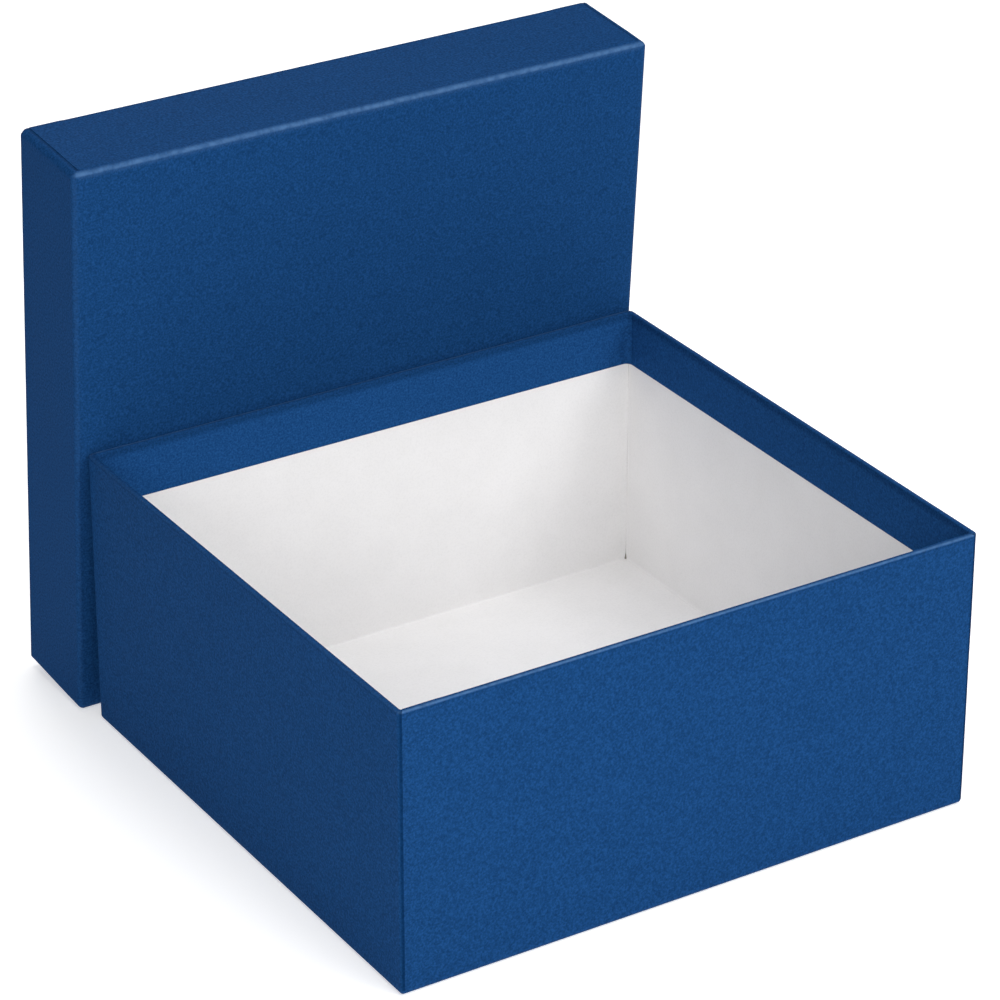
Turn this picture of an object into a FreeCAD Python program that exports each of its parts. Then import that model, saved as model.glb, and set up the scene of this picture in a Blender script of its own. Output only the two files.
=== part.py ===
import FreeCAD, Part
import math
import os

# Two-piece rigid set-up box: a square-cut base tray and a lift-off lid.
# Each tray is a scored board blank, held at its corners by tape stays, lined
# in white paper and wrapped in one sheet of coloured paper that turns in over
# the rim. The lid stands on edge behind the base and leans on its back rim.
# Millimetres. Origin at the centre of the base's underside, +Z up, +Y back.

# Overall sizes
BOX_LENGTH = 230.0
BOX_WIDTH = 214.0
BASE_HEIGHT = 107.0
LID_DEPTH = 39.5
TURN_IN = 21.0

# Sheet materials
BOARD = 1.5
WRAP_PAPER = 0.15
LINER_PAPER = 0.10
STAY_TAPE = 0.10

# Details of the blank
STAY_LEG = 12.0
SCORE_WEB = 0.6
CORNER_NICK = 0.8

# Fit and resting place of the lid
LID_CLEARANCE = 0.3
LEAN_ANGLE = 4.2
LEAN_GAP = 0.3
LID_SIDE_SHIFT = -2.0

# Sizes that follow
WALL = WRAP_PAPER + BOARD + LINER_PAPER + WRAP_PAPER
FOLD_RADIUS = BOARD + WRAP_PAPER
LID_LENGTH = BOX_LENGTH + 2 * (WALL + LID_CLEARANCE)
LID_WIDTH = BOX_WIDTH + 2 * (WALL + LID_CLEARANCE)
FLOOR_TOP = WRAP_PAPER + BOARD

# Compass of the four walls: name and turn about Z from the +X wall
BASE_WALLS = (("right", 0), ("back", 90), ("left", 180), ("front", 270))
LID_WALLS = (("right", 0), ("front", 90), ("left", 180), ("back", 270))


def centred_box(length, width, low, high):
    corner = FreeCAD.Vector(-length / 2, -width / 2, low)
    return Part.makeBox(length, width, high - low, corner)


def rounded_block(length, width, low, high, radius):
    """Block with every edge rounded except those around its top."""
    block = centred_box(length, width, low, high)
    middle = (low + high) / 2
    edges = [edge for edge in block.Edges if edge.BoundBox.ZMin < middle]
    return block.makeFillet(radius, edges)


def turned(shape, angle):
    copy = shape.copy()
    copy.rotate(FreeCAD.Vector(0, 0, 0), FreeCAD.Vector(0, 0, 1), angle)
    return copy


def upright_prism(outline, run):
    """Prism along Y, centred, from (x, z) points."""
    points = [FreeCAD.Vector(x, -run / 2, z) for x, z in outline]
    wire = Part.makePolygon(points + points[:1])
    return Part.Face(wire).extrude(FreeCAD.Vector(0, run, 0))


def across(length, width, angle):
    """Size measured along the direction a wall faces, then along its run."""
    if angle % 180 == 0:
        return length, width
    return width, length


def board_pieces(length, width, depth, stays):
    """Floor panel and four walls, joined at half-cut scores."""
    inner_length = length - 2 * FLOOR_TOP
    inner_width = width - 2 * FLOOR_TOP
    floor = centred_box(inner_length, inner_width, WRAP_PAPER, FLOOR_TOP)
    walls = {}
    for angle in (0, 90, 180, 270):
        reach, run = across(inner_length, inner_width, angle)
        inside = reach / 2
        outside = inside + BOARD
        score = inside + SCORE_WEB
        wall_outline = (
            (inside, depth - WRAP_PAPER),
            (outside, depth - WRAP_PAPER),
            (outside, FLOOR_TOP),
            (score, FLOOR_TOP),
            (score, FLOOR_TOP - SCORE_WEB),
            (inside, FLOOR_TOP),
        )
        web_outline = (
            (inside, FLOOR_TOP),
            (score, FLOOR_TOP - SCORE_WEB),
            (inside, FLOOR_TOP - SCORE_WEB),
        )
        floor = floor.fuse(turned(upright_prism(web_outline, run), angle))
        wall = turned(upright_prism(wall_outline, run), angle)
        for stay in stays.values():
            wall = wall.cut(stay)
        walls[angle] = wall
    return floor.removeSplitter(), walls


def stay_pieces(length, width, depth):
    """Tape angles that bridge the open corner between neighbouring walls."""
    inside_x = length / 2 - FLOOR_TOP
    inside_y = width / 2 - FLOOR_TOP
    outside_x = inside_x + BOARD
    outside_y = inside_y + BOARD
    bend = STAY_TAPE * math.tan(math.radians(22.5))
    outline = (
        (inside_x - STAY_LEG, outside_y),
        (inside_x, outside_y),
        (outside_x, inside_y),
        (outside_x, inside_y - STAY_LEG),
        (outside_x - STAY_TAPE, inside_y - STAY_LEG),
        (outside_x - STAY_TAPE, inside_y - bend),
        (inside_x - bend, outside_y - STAY_TAPE),
        (inside_x - STAY_LEG, outside_y - STAY_TAPE),
    )
    rise = FreeCAD.Vector(0, 0, depth - WRAP_PAPER - FLOOR_TOP)
    stays = {}
    for side_x in (-1, 1):
        for side_y in (-1, 1):
            points = [FreeCAD.Vector(side_x * x, side_y * y, FLOOR_TOP) for x, y in outline]
            face = Part.Face(Part.makePolygon(points + points[:1]))
            stays[side_x, side_y] = face.extrude(rise)
    return stays


def liner_piece(length, width, depth):
    """White sheet over the floor and up the walls, nicked at the floor corners."""
    inner_length = length - 2 * FLOOR_TOP
    inner_width = width - 2 * FLOOR_TOP
    clear_length = inner_length - 2 * LINER_PAPER
    clear_width = inner_width - 2 * LINER_PAPER
    top = depth - WRAP_PAPER
    sheet = centred_box(inner_length, inner_width, FLOOR_TOP, top)
    sheet = sheet.cut(centred_box(clear_length, clear_width, FLOOR_TOP + LINER_PAPER, top))
    for side_x in (-1, 1):
        for side_y in (-1, 1):
            nick = centred_box(
                CORNER_NICK,
                CORNER_NICK,
                FLOOR_TOP + LINER_PAPER - CORNER_NICK / 2,
                FLOOR_TOP + LINER_PAPER + CORNER_NICK / 2,
            )
            nick.translate(
                FreeCAD.Vector(side_x * clear_length / 2, side_y * clear_width / 2, 0)
            )
            sheet = sheet.cut(nick)
    return sheet


def wrap_pieces(length, width, depth):
    """Wrapping sheet with its turn-in, parted into a floor field and four wall fields."""
    open_length = length - 2 * WALL
    open_width = width - 2 * WALL
    turn_length = open_length + 2 * WRAP_PAPER
    turn_width = open_width + 2 * WRAP_PAPER
    edge = depth - WRAP_PAPER
    sheet = rounded_block(length, width, 0, depth, FOLD_RADIUS)
    sheet = sheet.cut(
        rounded_block(
            length - 2 * WRAP_PAPER, width - 2 * WRAP_PAPER, WRAP_PAPER, edge, BOARD
        )
    )
    sheet = sheet.cut(centred_box(open_length, open_width, edge, depth))
    turn = centred_box(turn_length, turn_width, depth - TURN_IN, edge)
    turn = turn.cut(centred_box(open_length, open_width, depth - TURN_IN, edge))
    sheet = sheet.fuse(turn)
    middle = depth / 2
    floor = sheet.common(centred_box(open_length, open_width, 0, middle)).removeSplitter()
    fields = {}
    for angle in (0, 90, 180, 270):
        reach, run = across(length, width, angle)
        if angle % 180 == 90:
            run = run - 2 * WALL
        zone = Part.makeBox(
            WALL, run, depth, FreeCAD.Vector(reach / 2 - WALL, -run / 2, 0)
        )
        fields[angle] = sheet.common(turned(zone, angle)).removeSplitter()
    return floor, fields


def tray(prefix, flat_name, walls, length, width, depth):
    """All pieces of one tray, standing with its opening up."""
    stays = stay_pieces(length, width, depth)
    floor_board, wall_boards = board_pieces(length, width, depth, stays)
    floor_wrap, wall_wraps = wrap_pieces(length, width, depth)
    pieces = {
        prefix + "_board_" + flat_name: floor_board,
        prefix + "_wrap_" + flat_name: floor_wrap,
        prefix + "_liner": liner_piece(length, width, depth),
    }
    names = {angle: name for name, angle in walls}
    for angle, name in names.items():
        pieces[prefix + "_board_" + name] = wall_boards[angle]
        pieces[prefix + "_wrap_" + name] = wall_wraps[angle]
    for (side_x, side_y), stay in stays.items():
        along = names[0 if side_x > 0 else 180]
        facing = names[90 if side_y > 0 else 270]
        pieces[prefix + "_stay_" + facing + "_" + along] = stay
    return pieces


def lean(pieces):
    """Stand the lid on its front edge, panel towards the base, against the back rim."""
    angle = math.radians(LEAN_ANGLE)
    low_edge = -FOLD_RADIUS * (math.sin(angle) + math.cos(angle) - 1)
    foot = BOX_WIDTH / 2 + LEAN_GAP + (BASE_HEIGHT - low_edge) * math.tan(angle)
    centre = FreeCAD.Vector(
        LID_SIDE_SHIFT,
        foot - LID_WIDTH / 2 * math.sin(angle),
        low_edge + LID_WIDTH / 2 * math.cos(angle),
    )
    turn = FreeCAD.Rotation(FreeCAD.Vector(1, 0, 0), LEAN_ANGLE - 90)
    place = FreeCAD.Placement(centre, turn)
    return {name: shape.transformed(place.toMatrix()) for name, shape in pieces.items()}


base = tray("base", "bottom", BASE_WALLS, BOX_LENGTH, BOX_WIDTH, BASE_HEIGHT)
lid = lean(tray("lid", "top", LID_WALLS, LID_LENGTH, LID_WIDTH, LID_DEPTH))

os.makedirs("parts", exist_ok=True)
for name, shape in {**base, **lid}.items():
    shape.exportStep(os.path.join("parts", name + ".step"))
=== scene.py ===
import math

import bmesh
import bpy
from mathutils import Matrix, Vector, noise


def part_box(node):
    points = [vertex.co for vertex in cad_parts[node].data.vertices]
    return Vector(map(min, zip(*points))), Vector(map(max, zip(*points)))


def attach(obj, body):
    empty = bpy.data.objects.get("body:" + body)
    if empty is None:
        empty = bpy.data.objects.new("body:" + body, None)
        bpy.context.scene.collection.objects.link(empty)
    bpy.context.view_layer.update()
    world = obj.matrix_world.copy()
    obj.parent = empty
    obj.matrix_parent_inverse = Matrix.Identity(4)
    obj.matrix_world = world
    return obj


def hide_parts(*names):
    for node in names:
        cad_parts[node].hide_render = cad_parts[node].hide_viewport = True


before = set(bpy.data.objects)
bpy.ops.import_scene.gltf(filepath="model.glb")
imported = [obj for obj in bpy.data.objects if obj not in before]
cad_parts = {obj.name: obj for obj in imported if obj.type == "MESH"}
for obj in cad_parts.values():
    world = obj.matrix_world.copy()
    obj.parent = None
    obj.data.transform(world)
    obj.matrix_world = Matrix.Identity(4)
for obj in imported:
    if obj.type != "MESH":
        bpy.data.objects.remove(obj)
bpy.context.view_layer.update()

MM = 0.001

# ---------------------------------------------------------------- sizes (mm), as in the CAD part
PAPER = 0.15  # wrapping paper
BOARD = 1.5
LINER = 0.10  # lining paper
FOLD_R = BOARD + PAPER  # outside radius of the fold from the flat panel to a wall
TURN_IN = 21.0  # how far the wrapping paper goes down inside the rim
LID_D = 39.5
LEAN = math.radians(4.2)  # how far the lid tips forward from upright


def low_high(node):
    """Lowest and highest corner of a CAD node's box."""
    low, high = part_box(node)
    return low / MM, high / MM


base_left = low_high("base_wrap_left")
BASE_L = -2 * base_left[0].x
BASE_W = 2 * base_left[1].y
BASE_H = base_left[1].z
WALL = base_left[1].x - base_left[0].x
lid_left = low_high("lid_wrap_left")
lid_right = low_high("lid_wrap_right")
LID_L = lid_right[1].x - lid_left[0].x
LID_W = LID_L - BASE_L + BASE_W  # the lid is larger by the same amount both ways
LID_X = (lid_right[1].x + lid_left[0].x) / 2

# The lid stands on the fold between its panel and its lower long wall, which the CAD calls
# its front. low_edge and foot place that fold's sharp corner, as if it weren't rounded.
low_edge = -FOLD_R * (math.sin(LEAN) + math.cos(LEAN) - 1)
lid_back = low_high("lid_wrap_front")[1].y
foot = lid_back - LID_D * math.cos(LEAN)
lid_centre = Vector((LID_X, foot - LID_W / 2 * math.sin(LEAN), low_edge + LID_W / 2 * math.cos(LEAN)))
LID_PLACE = Matrix.Translation(lid_centre) @ Matrix.Rotation(LEAN - math.pi / 2, 4, "X")


# ---------------------------------------------------------------- wrapping sheet
# The four sides of a tray are numbered 0 right, 1 back, 2 left, 3 front in its own frame,
# in which the flat panel is at the bottom, and corner n comes after side n. Of the lid,
# side 1 is the lower long wall and side 3 the upper one.
LONG_SIDES = 1  # sides whose number is odd carry the flaps that cover the corner tabs
CORNER_STEPS = 8
ROUND_STEPS = 4  # on the inner edge of the rim and on the lining's fold
RING_SPACING = 4.0  # between points along a wall's middle
ROW_SPACING = 4.0  # between rows up a wall
END_ZONE = 20.0  # length at each end of a side that is divided closely
SEAM_STEP = 0.03  # the step up onto the flap takes this length
TAB_MARKS = (4.0, 6.0, 8.5, 11.0, 12.6, 13.4, 14.2, 15.0, 17.0)  # closer round the tab's edge
FLAP_RISE = 0.13  # of the sheet over the tab
TAB_STEP = 0.10  # the part of it that ends at the tab's edge
TAB_EDGE = (12.6, 14.6)
RELAX_STEP = 0.03  # the rest of it
RELAX_EDGE = (14.2, END_ZONE)
RIM_OUT = 0.55  # radius of the rim's outer edge
RIM_IN = 0.45  # radius of its inner edge
LEAST_RADIUS = 0.02
UNDER_STEP = 0.01  # keeps the hidden side's top rows apart

FLAT_RING = 1.5  # the fold's painted highlight fades out over this width of the flat panel
WALL_MARGIN = 3.0
FOOT_MARKS = (0.6, 1.5)  # rows above the fold
LIP_MARKS = (2.0, 1.3, 0.9, 0.6, 0.3, 0.0)  # rows below the rim
TURN_IN_MARKS = (0.9, 1.8, 3.5, 6.0, 9.0, 12.0, 15.0, 17.5, 19.0)  # rows down the inside
EDGE_STEP = 0.35  # last row above the turn-in's cut edge
EDGE_PRESS = 0.02

# Strength of the painted highlight along the folds, the rim and the turn-in's edge, from 0 to 1, row
# by row
FOLD_HIGHLIGHT = (0.25, 0.75, 1.0, 1.0, 0.9, 0.7, 0.45, 0.25, 0.1)
LIP_HIGHLIGHT = 0.3
RIM_HIGHLIGHT = (0.7, 1.0, 1.0, 0.9, 0.7)
TOP_HIGHLIGHT = (0.35, 0.15, 0.05)
EDGE_HIGHLIGHT = 0.3

# Each tuple of four goes with corners or sides 0 to 3.
#   outer, inner: corner radii of the outside and of the inside
#   flatten: 1 for a round corner, less for a chamfered one
#   seam: distance from the end of a long side's straight stretch to the edge of its flap
#   painted corner shade: how much painted shade darkens the corner beside that edge
#   rim and fold highlight: how strong the painted highlight is on the rim and on the fold
BASE_FOLDS = {
    "outer": (1.4, 1.4, 1.1, 1.7),
    "inner": (2.3, 1.2, 0.7, 1.2),
    "flatten": 0.85,
    "seam": 0.12,
    "painted_corner_shade": 1.0,
    "rim_highlight": (0.25, 0.85, 0.15, 1.0),
    "fold_highlight": (0.2, 0.2, 0.2, 0.25),
}
LID_FOLDS = {
    "outer": (2.0, 2.0, 2.0, 2.0),
    "inner": (2.3, 2.3, 2.3, 2.3),
    "flatten": 0.6,
    "seam": 1.3,
    "painted_corner_shade": 0.0,
    "rim_highlight": (0.3, 0.3, 0.3, 0.3),
    "fold_highlight": (0.15, 0.25, 0.08, 1.0),
}


def smooth(edge0, edge1, x):
    """0 up to edge0, 1 from edge1, and an even slope at both."""
    t = min(1.0, max(0.0, (x - edge0) / (edge1 - edge0)))
    return t * t * (3 - 2 * t)


def end_marks(seam):
    """Distances from a side's end where the sheet is divided, closer round the flap's edge."""
    near = [0.0, max(0.04, seam - 0.25), seam, seam + SEAM_STEP, seam + 0.5, seam + 1.3]
    return near + [*TAB_MARKS, END_ZONE]


def ring_path(length, width, seam):
    """Steps of one whole turn: (side, 'start' | 'middle' | 'end' | 'corner', value)."""
    path = []
    for side in range(4):
        half = (width if side % 2 == 0 else length) / 2
        count = max(2, round(2 * (half - END_ZONE) / RING_SPACING))
        path += [(side, "start", d) for d in end_marks(seam)]
        path += [(side, "middle", k / count) for k in range(1, count)]
        path += [(side, "end", d) for d in reversed(end_marks(seam))]
        path += [(side, "corner", k / CORNER_STEPS) for k in range(1, CORNER_STEPS)]
    return path


def ring_point(step, half_x, half_y, radii, flatten):
    """Point and outward normal on a rounded rectangle."""
    side, kind, value = step
    reach, run = (half_x, half_y) if side % 2 == 0 else (half_y, half_x)
    first = -(run - radii[side - 1])
    last = run - radii[side]
    normal = Vector((1.0, 0.0))
    if kind == "corner":
        a = value * math.pi / 2
        normal = Vector((math.cos(a), math.sin(a)))
        p = normal * flatten + Vector((1 - value, value)) * (1 - flatten)
        local = Vector((reach - radii[side] * (1 - p.x), last + radii[side] * p.y))
    elif kind == "start":
        local = Vector((reach, first + value))
    elif kind == "end":
        local = Vector((reach, last - value))
    else:
        local = Vector((reach, first + END_ZONE + value * (last - first - 2 * END_ZONE)))
    turn = side * math.pi / 2
    c, s = round(math.cos(turn)), round(math.sin(turn))
    point = Vector((local.x * c - local.y * s, local.x * s + local.y * c))
    out = Vector((normal.x * c - normal.y * s, normal.x * s + normal.y * c))
    return point, out


def layers(step, seam):
    """Extra height of the paper on the long sides, where flaps cover the corner tabs."""
    side, kind, value = step
    if side % 2 != LONG_SIDES or kind in ("corner", "middle") or value < seam + SEAM_STEP / 2:
        return 0.0
    return FLAP_RISE - TAB_STEP * smooth(*TAB_EDGE, value) - RELAX_STEP * smooth(*RELAX_EDGE, value)


def scaled(radii, share):
    return tuple(max(LEAST_RADIUS, r * share) for r in radii)


def profile(depth, folds):
    """Section of the sheet from the flat panel, over the rim, to the turn-in's edge.
    Rows are (inset, height, corner radii, part, strength of the painted highlight)."""
    outer, inner = folds["outer"], folds["inner"]
    r = FOLD_R
    rows = [(r + FLAT_RING, 0.0, scaled(outer, 0.0), "flat", 0.0)]
    for k, highlight in enumerate(FOLD_HIGHLIGHT):
        a = math.pi / 2 * k / (len(FOLD_HIGHLIGHT) - 1)
        inset = r - r * math.sin(a)
        rows.append((inset, r - r * math.cos(a), scaled(outer, (r - inset) / r), "fold", highlight))
    low, high = r, depth - RIM_OUT
    for m in FOOT_MARKS:
        rows.append((0.0, low + m, outer, "wall", 0.0))
    body = high - low - 2 * WALL_MARGIN
    count = max(6, round(body / ROW_SPACING))
    for k in range(count + 1):
        rows.append((0.0, low + WALL_MARGIN + body * k / count, outer, "wall", 0.0))
    for m in LIP_MARKS:
        rows.append((0.0, high - m, outer, "lip", LIP_HIGHLIGHT if m == 0.0 else 0.0))
    for k, highlight in enumerate(RIM_HIGHLIGHT, 1):
        a = math.pi / 2 * k / len(RIM_HIGHLIGHT)
        inset = RIM_OUT * (1 - math.cos(a))
        rows.append((inset, high + RIM_OUT * math.sin(a), outer, "rim", highlight))
    flat = WALL - RIM_OUT - RIM_IN
    for k, highlight in enumerate(TOP_HIGHLIGHT, 1):
        s = k / (len(TOP_HIGHLIGHT) + 1)
        radii = tuple(o + (i - o) * s for o, i in zip(outer, inner))
        rows.append((RIM_OUT + flat * s, depth, radii, "top", highlight))
    for k in range(ROUND_STEPS + 1):
        a = math.pi / 2 * k / ROUND_STEPS
        inset = WALL - RIM_IN + RIM_IN * math.sin(a)
        rows.append((inset, depth - RIM_IN + RIM_IN * math.cos(a), inner, "inner_rim", 0.0))
    edge = depth - TURN_IN
    for m in TURN_IN_MARKS:
        rows.append((WALL, depth - m, inner, "turn_in", 0.0))
    rows.append((WALL, edge + EDGE_STEP, inner, "turn_in", 0.0))
    rows.append((WALL - EDGE_PRESS, edge, inner, "edge", EDGE_HIGHLIGHT))
    return rows


def underside(rows, depth):
    """The same section on the side of the board, one paper thickness behind."""
    back = []
    thin = FOLD_R - PAPER
    for inset, z, radii, part, highlight in reversed(rows):
        if part == "flat":
            continue
        if part in ("edge", "turn_in"):
            place = (WALL - PAPER, z if part == "edge" else min(z, depth - PAPER))
            radii = tuple(r - PAPER for r in radii)
        elif part in ("inner_rim", "top", "rim"):
            place = (PAPER + inset / WALL * (WALL - 2 * PAPER), depth - PAPER)
        elif part in ("lip", "wall"):
            place = (PAPER, min(z, depth - PAPER - UNDER_STEP))
        else:
            a = math.asin(min(1.0, max(0.0, (FOLD_R - inset) / FOLD_R)))
            place = (FOLD_R - thin * math.sin(a), FOLD_R - thin * math.cos(a))
            radii = tuple(max(LEAST_RADIUS, r - PAPER) for r in radii)
        back.append((*place, radii, "under", 0.0))
    return back


# Heights of the glued paper's unevenness. In the noise, u runs along the side and z up it.
WALL_SWELL = 0.05
WALL_WAVE = 0.10
WALL_FADE = (2.0, 12.0)  # it comes in between these distances from the fold and from the rim
LIP_SWELL = 0.045
LIP_FADE = (2.6, 0.7)  # and this between these distances below the rim
TURN_IN_WAVE = 0.04
TURN_IN_LIFT = 0.6  # share of the flap's rise that shows on the inside
RIM_LIFT = 0.6  # and on top of the rim
INNER_RIM_SHARE = 0.5  # of the lip's movement, the other way
LIT_TURN_IN_FROM = 2.0  # painted light: the turn-in is made lighter from this far down
SEED_STEP = 11.0  # between the noise of one side and the next


def relief(step, part, u, z, depth, seed, seam):
    """Outward movement of the outer face, from what is under it and how it was folded."""
    if part in ("flat", "fold", "under", "edge"):
        return 0.0
    lift = layers(step, seam) * (TURN_IN_LIFT if part == "turn_in" else 1.0)
    if part == "wall":
        away = smooth(*WALL_FADE, z) * smooth(*WALL_FADE, depth - z)
        lift += away * (WALL_SWELL + WALL_WAVE * noise.noise(Vector((u * 0.05, z * 0.05, seed))))
    if part in ("lip", "rim"):
        slow = noise.noise(Vector((u * 0.22, seed, 3.0)))
        fast = noise.noise(Vector((u * 0.9, seed, 7.0)))
        near_rim = smooth(depth - LIP_FADE[0], depth - LIP_FADE[1], z)
        lift += LIP_SWELL * (1 + slow + 0.6 * fast) * near_rim
    if part == "turn_in":
        lift += TURN_IN_WAVE * noise.noise(Vector((u * 0.08, z * 0.12, seed + 5.0)))
    return lift


def side_value(values, step):
    """Per-side number, blended over the corners."""
    side, kind, value = step
    if kind != "corner":
        return values[side]
    return values[side] * (1 - value) + values[(side + 1) % 4] * value


FLAP_LINE = 0.3  # width of the painted shade line at a flap's edge, and of the dark joint at the inside corners
MITRE_DARK = 0.45  # the joint at the inside corners
CORNER_FADE = (0.3, 0.75)  # share of the corner's turn over which the painted shade comes in
LIP_LINE = (0.2, 0.7)  # a faint line of painted shade, as of a crease, this far below the rim
LIP_CREASE_SHADE = 0.35


def joint_and_shade_mark(step, part, drop, folds):
    """How dark the sheet is at a point: painted shade at the flap's edge, across the corner and just
    below the rim, and the dark joint at the mitre.
    """
    side, kind, value = step
    seam = folds["seam"]
    # painted shade across the rounded corner, growing towards the long side
    if kind == "corner" and part in ("wall", "lip", "rim"):
        across = 1 - value if side % 2 == LONG_SIDES else value
        return folds["painted_corner_shade"] * smooth(*CORNER_FADE, across)
    at_end = kind in ("start", "end") and value <= seam
    # line of painted shade along the flap's edge
    if side % 2 == LONG_SIDES and part in ("wall", "lip", "rim", "top"):
        if at_end and seam - value < FLAP_LINE:
            return 1.0
    if side % 2 != LONG_SIDES and part in ("turn_in", "inner_rim"):
        if kind in ("start", "end") and value < FLAP_LINE:
            return MITRE_DARK
    # line of painted shade just below the rim
    if part == "lip" and LIP_LINE[0] < drop < LIP_LINE[1]:
        return LIP_CREASE_SHADE
    return 0.0


def wrap_sheet(name, length, width, depth, seed, place, folds):
    """One die-cut sheet of wrapping paper, closed, with its own thickness."""
    seam = folds["seam"]
    path = ring_path(length, width, seam)
    rows = profile(depth, folds)
    rows += underside(rows, depth)
    bm = bmesh.new()
    # per-vertex strength of the painted highlight
    highlight_layer = bm.verts.layers.float.new("fold")
    # per-vertex painted shade and dark mitre joints
    joint_and_shade_layer = bm.verts.layers.float.new("seam")
    # marks the turn-in for painted light
    turn_in_light_layer = bm.verts.layers.float.new("turn_in_light")
    rings = []
    for inset, z, radii, part, highlight in rows:
        ring = []
        for step in path:
            half_x, half_y = length / 2 - inset, width / 2 - inset
            p, out = ring_point(step, half_x, half_y, radii, folds["flatten"])
            u = p.x if step[0] % 2 == 1 else p.y
            move = relief(step, part, u, z, depth, seed + step[0] * SEED_STEP, seam)
            height = z
            if part in ("rim", "top", "inner_rim"):
                height += RIM_LIFT * layers(step, seam)
            if part in ("turn_in", "edge"):
                move = -move
            elif part == "inner_rim":
                move *= -INNER_RIM_SHARE
            elif part == "top":
                move = 0.0
            point = Vector((p.x + out.x * move, p.y + out.y * move, height))
            v = bm.verts.new(place @ point * MM)
            # painted highlight strength, row by row and side by side
            sides = folds["fold_highlight"] if part == "fold" else folds["rim_highlight"]
            v[highlight_layer] = highlight * side_value(sides, step)
            v[joint_and_shade_layer] = joint_and_shade_mark(step, part, depth - RIM_OUT - z, folds)
            v[turn_in_light_layer] = 1.0 if part == "turn_in" and z < depth - LIT_TURN_IN_FROM else 0.0
            ring.append(v)
        rings.append(ring)
    n = len(path)
    for a, b in zip(rings, rings[1:]):
        for k in range(n):
            bm.faces.new((a[k], a[(k + 1) % n], b[(k + 1) % n], b[k]))
    bm.faces.new(list(reversed(rings[0])))
    bm.faces.new(rings[-1])
    bmesh.ops.recalc_face_normals(bm, faces=bm.faces)
    return finish_mesh(bm, name)


def finish_mesh(bm, name, sharp=38.0):
    """Make the object; edges that turn by more than sharp (degrees) are shaded as edges."""
    bmesh.ops.triangulate(bm, faces=[f for f in bm.faces if len(f.verts) > 4])
    mesh = bpy.data.meshes.new(name)
    bm.to_mesh(mesh)
    bm.free()
    for polygon in mesh.polygons:
        polygon.use_smooth = True
    mesh.set_sharp_from_angle(angle=math.radians(sharp))
    obj = bpy.data.objects.new(name, mesh)
    bpy.context.scene.collection.objects.link(obj)
    return obj


# ---------------------------------------------------------------- white lining sheet
LINER_FOLD = 0.4  # radius where the lining turns up from the floor
LINER_DROP = 0.7  # its top edge is this far below the paper on the rim
LINER_STEPS = (0.8, 2.0, 4.0)  # rows above the fold
LINER_SPACING = 5.0
SLIT = 0.06  # half the opening at an upright corner
NICK = 0.6  # and at the floor
NICK_HEIGHT = 3.0
LINER_WAVE = 0.05
LINER_SWELL = 0.05
LINER_FADE = (1, 12)  # the walls' swell comes in between these heights
UNDER_TURN_IN = 3.0  # and stops this far below the turn-in's edge
FLOOR_SWELL = 0.06
FLOOR_FADE = (0, 14)  # the floor's comes in between these distances from the walls
LINER_BACK = 0.9  # share of its thickness, so that it stays clear of the board
LINER_SHARP = 60.0


def strip_marks(half, depth):
    """(position across, height) from one rim over the floor to the other, and the rise's length."""
    floor_z = PAPER + BOARD + LINER
    top = depth - PAPER - LINER_DROP
    rise = []
    for k in range(ROUND_STEPS + 1):
        a = math.pi / 2 * k / ROUND_STEPS
        x = half - LINER_FOLD + LINER_FOLD * math.sin(a)
        rise.append((x, floor_z + LINER_FOLD * (1 - math.cos(a))))
    z0 = floor_z + LINER_FOLD
    rise += [(half, z0 + step) for step in LINER_STEPS]
    z1 = z0 + LINER_STEPS[-1]
    count = max(4, round((top - z1) / LINER_SPACING))
    rise += [(half, z1 + (top - z1) * k / count) for k in range(1, count + 1)]
    flat_count = round(2 * half / LINER_SPACING)
    inner = half - LINER_FOLD
    flat = [(-inner + 2 * inner * k / flat_count, floor_z) for k in range(1, flat_count)]
    return [(-x, z) for x, z in reversed(rise)] + flat + rise, len(rise)


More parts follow.
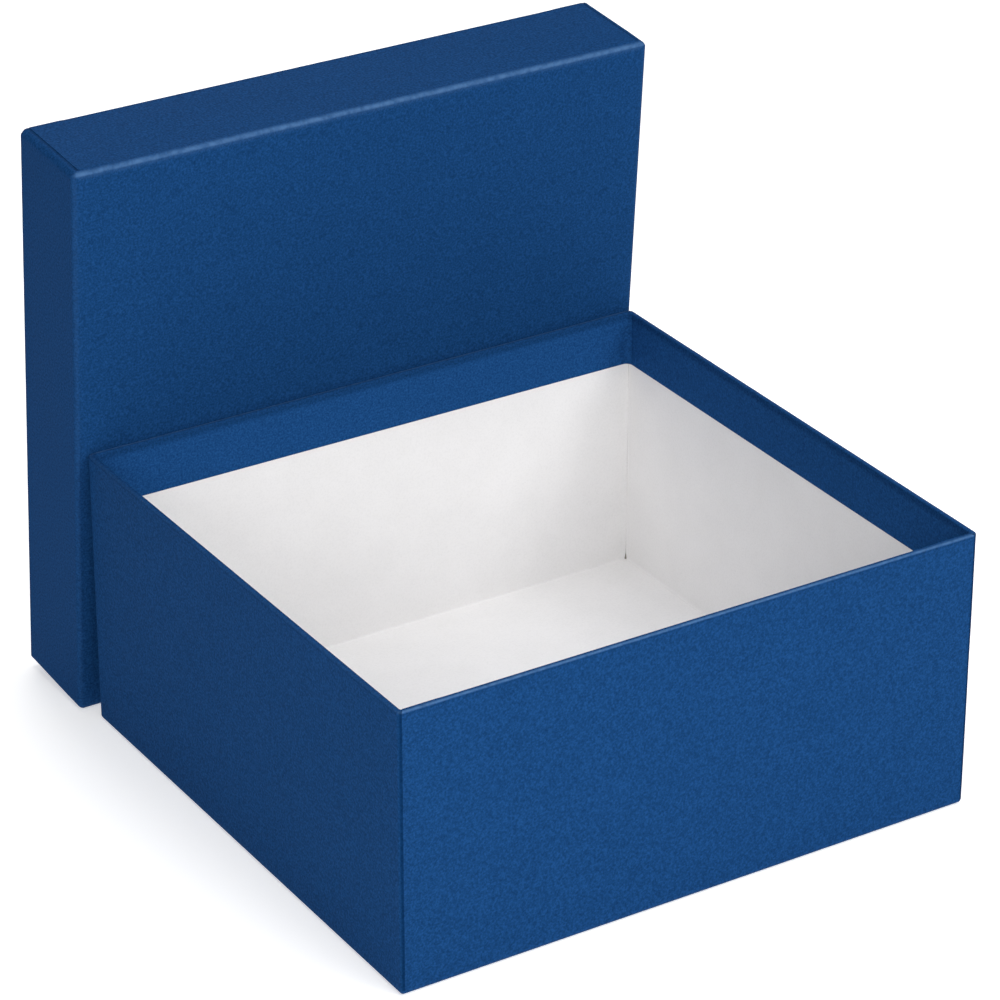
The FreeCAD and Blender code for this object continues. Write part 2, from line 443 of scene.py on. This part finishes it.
def lining(name, length, width, depth, seed, place):
    """One white sheet, glued down over the floor and up the four walls, slit at the corners."""
    half_x = length / 2 - PAPER - BOARD - LINER
    half_y = width / 2 - PAPER - BOARD - LINER
    xs, rise_x = strip_marks(half_x, depth)
    ys, rise_y = strip_marks(half_y, depth)
    floor_z = PAPER + BOARD + LINER
    bm = bmesh.new()
    grid = {}

    def on_floor(k, count, rise):
        return rise - 1 <= k <= count - rise

    def corner_gap(z):
        return SLIT + (NICK - SLIT) * (1 - smooth(floor_z, floor_z + NICK_HEIGHT, z))

    for i, (x, zx) in enumerate(xs):
        for j, (y, zy) in enumerate(ys):
            floor_i, floor_j = on_floor(i, len(xs), rise_x), on_floor(j, len(ys), rise_y)
            if not (floor_i or floor_j):
                continue
            px, py = x, y
            if not floor_i and j in (rise_y - 1, len(ys) - rise_y):
                py = math.copysign(half_y - corner_gap(zx), y)
            if not floor_j and i in (rise_x - 1, len(xs) - rise_x):
                px = math.copysign(half_x - corner_gap(zy), x)
            z = zx + zy - floor_z
            wave = LINER_WAVE * noise.noise(Vector((px * 0.06, py * 0.06 + z * 0.05, seed)))
            bulge = Vector((0, 0, 0))
            if floor_i and floor_j:
                edge = smooth(*FLOOR_FADE, half_x - abs(px)) * smooth(*FLOOR_FADE, half_y - abs(py))
                bulge.z = (FLOOR_SWELL + wave) * edge
            elif z <= depth - TURN_IN - UNDER_TURN_IN:
                lean_in = (LINER_SWELL + wave) * smooth(*LINER_FADE, z)
                if not floor_i:
                    bulge.x = -math.copysign(lean_in, x)
                else:
                    bulge.y = -math.copysign(lean_in, y)
            grid[i, j] = bm.verts.new(place @ (Vector((px, py, z)) + bulge) * MM)
    for i in range(len(xs) - 1):
        for j in range(len(ys) - 1):
            corners = [(i, j), (i + 1, j), (i + 1, j + 1), (i, j + 1)]
            if all(c in grid for c in corners):
                bm.faces.new([grid[c] for c in corners])
    bm.normal_update()
    front = list(bm.faces)
    behind = {v: bm.verts.new(v.co - v.normal * LINER * LINER_BACK * MM) for v in list(bm.verts)}
    rims = [(e.verts[0], e.verts[1], e.link_loops[0].vert) for e in bm.edges if e.is_boundary]
    for face in front:
        bm.faces.new([behind[v] for v in reversed(face.verts)])
    for a, b, first in rims:
        if first is a:
            a, b = b, a
        bm.faces.new((a, b, behind[b], behind[a]))
    return finish_mesh(bm, name, LINER_SHARP)


# ---------------------------------------------------------------- materials
NIGHT_BLUE = (0.0052, 0.0298, 0.098)
DEEP_BLUE = (0.0076, 0.0443, 0.141)
CLEAR_BLUE = (0.0114, 0.0620, 0.194)
# painted highlight colour for the folds, the rim and the turn-in's edge
HIGHLIGHT_BLUE = (0.075, 0.165, 0.330)
# near-black blue for painted shade and for the dark mitre joints
JOINT_AND_SHADE_BLUE = (0.0004, 0.012, 0.045)
LINING_DULL = (0.825, 0.815, 0.812)
LINING_WHITE = (0.850, 0.840, 0.838)
BOARD_DARK = (0.23, 0.215, 0.185)
BOARD_MIDDLE = (0.31, 0.29, 0.255)
BOARD_PALE = (0.37, 0.35, 0.31)
BOARD_FLECK = (0.6, 0.58, 0.55)
KRAFT_DARK = (0.40, 0.26, 0.12)
KRAFT_PALE = (0.52, 0.36, 0.19)


def grey(value):
    return (value, value, value)


def new_material(name):
    """A material, with the parts of its node tree that the functions below work on."""
    material = bpy.data.materials.new(name)
    material.use_nodes = True
    nodes = material.node_tree.nodes
    links = material.node_tree.links
    shader = nodes["Principled BSDF"]
    coords = nodes.new("ShaderNodeTexCoord")
    return material, nodes, links, shader, coords.outputs["Object"]


def noise_node(nodes, links, coords, scale, detail, rough=0.55):
    node = nodes.new("ShaderNodeTexNoise")
    node.inputs["Scale"].default_value = scale
    node.inputs["Detail"].default_value = detail
    node.inputs["Roughness"].default_value = rough
    links.new(coords, node.inputs["Vector"])
    return node.outputs["Fac"]


def ramp(nodes, links, value, stops):
    node = nodes.new("ShaderNodeValToRGB")
    elements = node.color_ramp.elements
    elements[0].position, elements[0].color = stops[0][0], (*stops[0][1], 1)
    elements[1].position, elements[1].color = stops[-1][0], (*stops[-1][1], 1)
    for position, colour in stops[1:-1]:
        element = elements.new(position)
        element.color = (*colour, 1)
    links.new(value, node.inputs["Fac"])
    return node.outputs["Color"]


def mix_colour(nodes, links, factor, a, b, blend="MIX"):
    node = nodes.new("ShaderNodeMix")
    node.data_type = "RGBA"
    node.blend_type = blend
    for value, socket in ((factor, node.inputs[0]), (a, node.inputs[6]), (b, node.inputs[7])):
        if isinstance(value, (int, float)):
            socket.default_value = value
        elif isinstance(value, tuple):
            socket.default_value = (*value, 1)
        else:
            links.new(value, socket)
    return node.outputs[2]


def maths(nodes, links, operation, a, b=0.0, c=0.0):
    node = nodes.new("ShaderNodeMath")
    node.operation = operation
    for value, socket in zip((a, b, c), node.inputs):
        if isinstance(value, (int, float)):
            socket.default_value = value
        else:
            links.new(value, socket)
    return node.outputs[0]


def attribute(nodes, name):
    node = nodes.new("ShaderNodeAttribute")
    node.attribute_name = name
    return node.outputs["Fac"]


def bump_into(nodes, links, shader, height, strength, distance):
    node = nodes.new("ShaderNodeBump")
    node.inputs["Strength"].default_value = strength
    node.inputs["Distance"].default_value = distance
    links.new(height, node.inputs["Height"])
    links.new(node.outputs["Normal"], shader.inputs["Normal"])


def blue_paper():
    material, nodes, links, shader, coords = new_material("blue_paper")
    grain = noise_node(nodes, links, coords, 1350, 3)
    fibre = noise_node(nodes, links, coords, 620, 2)
    cloud = noise_node(nodes, links, coords, 45, 2)
    streaks = noise_node(nodes, links, coords, 420, 3)

    colour = ramp(nodes, links, grain, [(0.30, NIGHT_BLUE), (0.5, DEEP_BLUE), (0.72, CLEAR_BLUE)])
    fibre_tone = maths(nodes, links, "MULTIPLY_ADD", fibre, 0.12, 0.94)
    cloud_tone = maths(nodes, links, "MULTIPLY_ADD", cloud, 0.08, 0.96)
    # painted light: the turn-in below its top is made up to 40% lighter
    turn_in_light_tone = maths(nodes, links, "MULTIPLY_ADD", attribute(nodes, "turn_in_light"), 0.40, 1.0)
    tone = maths(nodes, links, "MULTIPLY", fibre_tone, cloud_tone)
    tone = maths(nodes, links, "MULTIPLY", tone, turn_in_light_tone)
    bright = nodes.new("ShaderNodeCombineColor")
    for socket in bright.inputs:
        links.new(tone, socket)
    colour = mix_colour(nodes, links, 1.0, colour, bright.outputs[0], "MULTIPLY")

    # painted highlight: lighter blue along the folds, rim and edges, broken into streaks
    highlight_breakup = ramp(nodes, links, streaks, [(0.30, grey(0.45)), (0.62, grey(1))])
    highlight = maths(nodes, links, "MULTIPLY", attribute(nodes, "fold"), highlight_breakup)
    highlight = maths(nodes, links, "MULTIPLY", highlight, 0.70)
    colour = mix_colour(nodes, links, highlight, colour, HIGHLIGHT_BLUE)
    # painted shade at flap edges, across the corners and below the rim, and the dark mitre joints
    seam = maths(nodes, links, "MULTIPLY", attribute(nodes, "seam"), 0.65)
    colour = mix_colour(nodes, links, seam, colour, JOINT_AND_SHADE_BLUE)
    links.new(colour, shader.inputs["Base Color"])

    rough = maths(nodes, links, "MULTIPLY_ADD", fibre, 0.18, 0.43)
    links.new(rough, shader.inputs["Roughness"])
    shader.inputs["Specular IOR Level"].default_value = 0.004
    grain_height = maths(nodes, links, "MULTIPLY", grain, 0.9)
    fibre_height = maths(nodes, links, "MULTIPLY", fibre, 0.6)
    height = maths(nodes, links, "ADD", grain_height, fibre_height)
    bump_into(nodes, links, shader, height, 0.55, 0.00006)
    return material


def white_paper():
    material, nodes, links, shader, coords = new_material("white_paper")
    grain = noise_node(nodes, links, coords, 1300, 3)
    cloud = noise_node(nodes, links, coords, 60, 3)
    colour = ramp(nodes, links, cloud, [(0.3, LINING_DULL), (0.7, LINING_WHITE)])
    speck = ramp(nodes, links, grain, [(0.2, grey(0.94)), (0.55, grey(1))])
    colour = mix_colour(nodes, links, 1.0, colour, speck, "MULTIPLY")
    links.new(colour, shader.inputs["Base Color"])
    links.new(maths(nodes, links, "MULTIPLY_ADD", grain, 0.15, 0.62), shader.inputs["Roughness"])
    shader.inputs["Specular IOR Level"].default_value = 0.35
    bump_into(nodes, links, shader, grain, 0.35, 0.00004)
    return material


def greyboard():
    material, nodes, links, shader, coords = new_material("greyboard")
    grain = noise_node(nodes, links, coords, 700, 4)
    flecks = noise_node(nodes, links, coords, 1800, 1)
    colour = ramp(nodes, links, grain, [(0.3, BOARD_DARK), (0.6, BOARD_MIDDLE), (0.8, BOARD_PALE)])
    dots = ramp(nodes, links, flecks, [(0.62, grey(1)), (0.72, BOARD_FLECK)])
    colour = mix_colour(nodes, links, 1.0, colour, dots, "MULTIPLY")
    links.new(colour, shader.inputs["Base Color"])
    links.new(maths(nodes, links, "MULTIPLY_ADD", grain, 0.1, 0.82), shader.inputs["Roughness"])
    bump_into(nodes, links, shader, grain, 0.5, 0.0001)
    return material


def kraft_tape():
    material, nodes, links, shader, coords = new_material("stay_tape")
    grain = noise_node(nodes, links, coords, 900, 3)
    stretch = nodes.new("ShaderNodeMapping")
    stretch.inputs["Scale"].default_value = (1.0, 1.0, 0.15)
    links.new(coords, stretch.inputs["Vector"])
    streak = noise_node(nodes, links, stretch.outputs["Vector"], 1200, 2)
    colour = ramp(nodes, links, streak, [(0.3, KRAFT_DARK), (0.7, KRAFT_PALE)])
    links.new(colour, shader.inputs["Base Color"])
    links.new(maths(nodes, links, "MULTIPLY_ADD", grain, 0.12, 0.6), shader.inputs["Roughness"])
    bump_into(nodes, links, shader, grain, 0.4, 0.00005)
    return material


def pale_floor():
    material, nodes, links, shader, coords = new_material("pale_floor")
    cloud = noise_node(nodes, links, coords, 3, 2)
    colour = ramp(nodes, links, cloud, [(0.3, grey(0.90)), (0.7, grey(0.92))])
    links.new(colour, shader.inputs["Base Color"])
    shader.inputs["Roughness"].default_value = 0.8
    shader.inputs["Emission Color"].default_value = (1, 1, 1, 1)
    shader.inputs["Emission Strength"].default_value = 0.42
    return material


BLUE = blue_paper()
WHITE = white_paper()
GREY = greyboard()
TAPE = kraft_tape()

# ---------------------------------------------------------------- pieces
UPRIGHT = Matrix.Identity(4)
SIDES = ("front", "back", "left", "right")
LINER_SEED = 3  # added to the wrapping sheet's seed


def dress(body, flat, length, width, depth, seed, place, folds):
    """Paper for one tray: the wrapping sheet outside and over the rim, the lining inside."""
    sheet = wrap_sheet(body + "_wrapping_sheet", length, width, depth, seed, place, folds)
    sheet.data.materials.append(BLUE)
    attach(sheet, body)
    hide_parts(*[f"{body}_wrap_{side}" for side in (flat,) + SIDES])
    white = lining(body + "_lining_sheet", length, width, depth, seed + LINER_SEED, place)
    white.data.materials.append(WHITE)
    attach(white, body)
    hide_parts(body + "_liner")


dress("base", "bottom", BASE_L, BASE_W, BASE_H, 1.0, UPRIGHT, BASE_FOLDS)
dress("lid", "top", LID_L, LID_W, LID_D, 40.0, LID_PLACE, LID_FOLDS)

for name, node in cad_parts.items():
    if "_board_" in name or "_stay_" in name:
        node.data.materials.clear()
        node.data.materials.append(GREY if "_board_" in name else TAPE)

# ---------------------------------------------------------------- stage, light and camera
FLOOR_HALF = 6.0
FLOOR_GAP = 0.0002

floor_grid = bmesh.new()
bmesh.ops.create_grid(floor_grid, x_segments=8, y_segments=8, size=FLOOR_HALF)
floor = finish_mesh(floor_grid, "floor")
floor.data.materials.append(pale_floor())
floor.location.z = -FLOOR_GAP


def softbox(name, place, aim, size, power):
    light = bpy.data.lights.new(name, "AREA")
    light.shape = "RECTANGLE"
    light.size, light.size_y = size
    light.energy = power
    obj = bpy.data.objects.new(name, light)
    obj.location = place
    obj.rotation_euler = (Vector(aim) - Vector(place)).to_track_quat("-Z", "Y").to_euler()
    bpy.context.scene.collection.objects.link(obj)


# name, place, aim, size, power in watts
LIGHTS = (
    ("key_front", (0.15, -1.25, 0.75), (0, 0, 0.08), (0.9, 0.7), 7.8),
    ("near_front", (0.15, -0.85, 0.30), (0, 0, 0.06), (0.6, 0.3), 0.6),
    ("front_right_high", (0.7, -0.9, 1.3), (0, 0, 0.08), (0.7, 0.7), 7.8),
    ("left_front", (-1.0, -0.75, 0.6), (0, 0, 0.08), (0.5, 0.5), 4.8),
    ("left_front_high", (-0.95, -0.7, 0.95), (0, 0, 0.08), (0.5, 0.5), 3.5),
    ("top", (0.1, 0.1, 1.6), (0, 0, 0), (1.2, 1.2), 13.5),
    ("back_fill", (0.5, 1.5, 0.9), (0, 0, 0.1), (1.0, 1.0), 8.0),
)
for light in LIGHTS:
    softbox(*light)

world = bpy.data.worlds.new("studio")
world.use_nodes = True
world.node_tree.nodes["Background"].inputs["Color"].default_value = (1, 1, 1, 1)
world.node_tree.nodes["Background"].inputs["Strength"].default_value = 0.0
bpy.context.scene.world = world

CAMERA_AZ = math.radians(-32.02)  # to the left of straight in front
CAMERA_EL = math.radians(27.33)
CAMERA_AIM = Vector((-0.01018, 0.0, 0.10719))
CAMERA_FAR = 1.49482
LENS_MM = 155.7576
SENSOR_MM = 36.0
level = math.cos(CAMERA_EL)
back = Vector((math.sin(CAMERA_AZ) * level, -math.cos(CAMERA_AZ) * level, math.sin(CAMERA_EL)))
camera_data = bpy.data.cameras.new("camera")
camera_data.sensor_width = SENSOR_MM
camera_data.lens = LENS_MM
camera_data.clip_start = 0.05
camera_data.clip_end = 50
camera = bpy.data.objects.new("camera", camera_data)
camera.location = CAMERA_AIM + back * CAMERA_FAR
camera.rotation_euler = (-back).to_track_quat("-Z", "Y").to_euler()
bpy.context.scene.collection.objects.link(camera)
bpy.context.scene.camera = camera

view = bpy.context.scene.view_settings
view.view_transform = "Standard"
view.look = "None"
